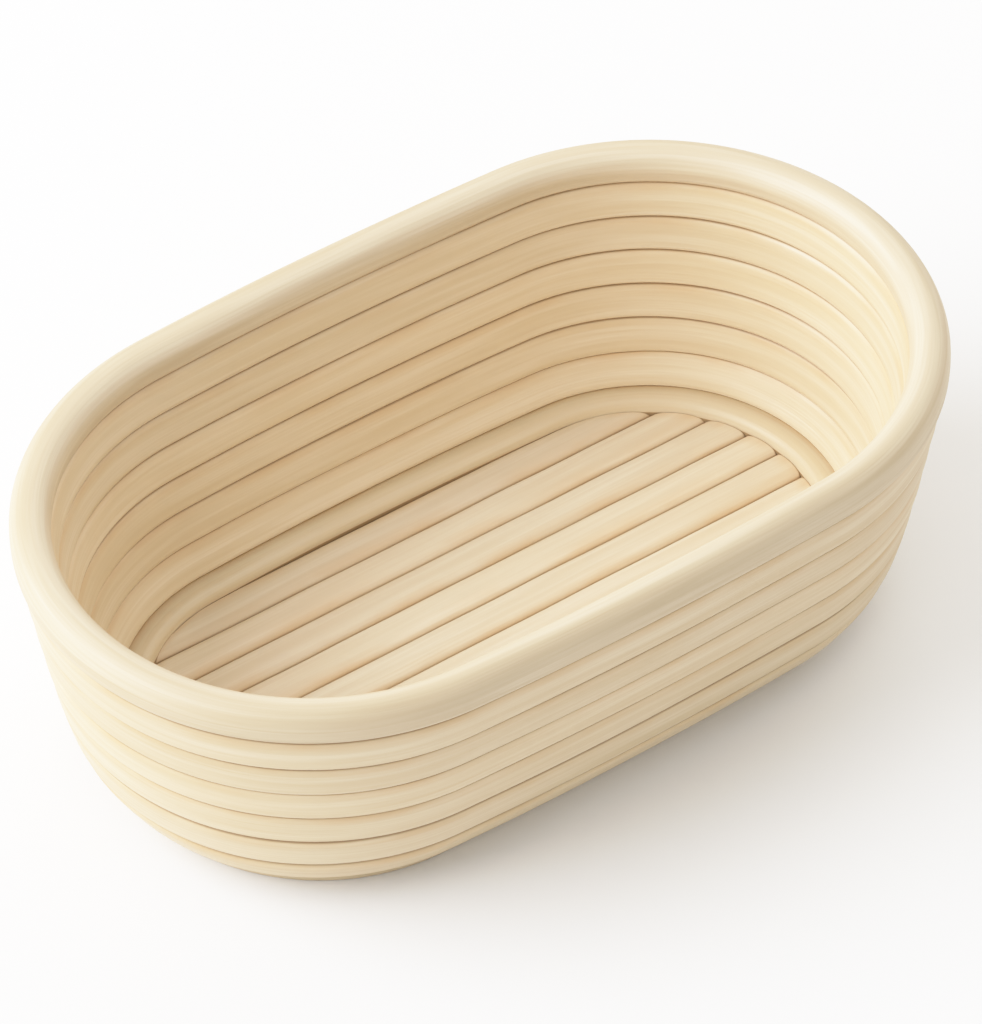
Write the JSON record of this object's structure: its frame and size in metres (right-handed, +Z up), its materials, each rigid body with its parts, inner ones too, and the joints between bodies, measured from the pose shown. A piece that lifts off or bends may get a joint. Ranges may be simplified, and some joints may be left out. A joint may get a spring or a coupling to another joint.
{
  "type": "banneton basket",
  "caption": "Oval bread proofing basket of bent rattan canes: a round rim over stacked cane rings that draw in to a flat floor of straight canes, open at the top.",
  "frame": {"origin": "middle of the underside, on the surface that the basket stands on", "axes": "+X along the basket's length, +Y across it, +Z up through the open mouth"},
  "size_m": [0.2492, 0.1516, 0.0794],
  "materials": {
    "rim_rattan": "smooth pale peeled rattan pole, satin",
    "wall_rattan": "peeled rattan cane, fine lengthwise grain, satin",
    "base_rattan": "peeled rattan cane, fine lengthwise grain, satin",
    "floor_rattan": "peeled rattan cane, fine lengthwise grain, satin",
    "peg_wood": "turned wooden pegs and dowels, unfinished, hidden"
  },
  "bodies": {
    "root": {"rim_cane": "rim_rattan", "wall_cane_1": "wall_rattan", "wall_cane_2": "wall_rattan", "wall_cane_3": "wall_rattan", "wall_cane_4": "wall_rattan", "wall_cane_5": "wall_rattan", "wall_cane_6": "wall_rattan", "base_cane": "base_rattan", "floor_cane_1": "floor_rattan", "floor_cane_2": "floor_rattan", "floor_cane_3": "floor_rattan", "floor_cane_4": "floor_rattan", "floor_cane_5": "floor_rattan", "floor_cane_6": "floor_rattan", "floor_cane_7": "floor_rattan", "floor_cane_8": "floor_rattan", "floor_cane_9": "floor_rattan", "floor_dowel_1": "peg_wood", "floor_dowel_2": "peg_wood", "floor_dowel_3": "peg_wood", "peg_row_1_no_1": "peg_wood", "peg_row_1_no_2": "peg_wood", "peg_row_1_no_3": "peg_wood", "peg_row_1_no_4": "peg_wood", "peg_row_2_no_1": "peg_wood", "peg_row_2_no_2": "peg_wood", "peg_row_2_no_3": "peg_wood", "peg_row_2_no_4": "peg_wood", "peg_row_3_no_1": "peg_wood", "peg_row_3_no_2": "peg_wood", "peg_row_3_no_3": "peg_wood", "peg_row_3_no_4": "peg_wood", "peg_row_4_no_1": "peg_wood", "peg_row_4_no_2": "peg_wood", "peg_row_4_no_3": "peg_wood", "peg_row_4_no_4": "peg_wood", "peg_row_5_no_1": "peg_wood", "peg_row_5_no_2": "peg_wood", "peg_row_5_no_3": "peg_wood", "peg_row_5_no_4": "peg_wood", "peg_row_6_no_1": "peg_wood", "peg_row_6_no_2": "peg_wood", "peg_row_6_no_3": "peg_wood", "peg_row_6_no_4": "peg_wood", "peg_row_7_no_1": "peg_wood", "peg_row_7_no_2": "peg_wood", "peg_row_7_no_3": "peg_wood", "peg_row_7_no_4": "peg_wood"}
  },
  "joints": []
}
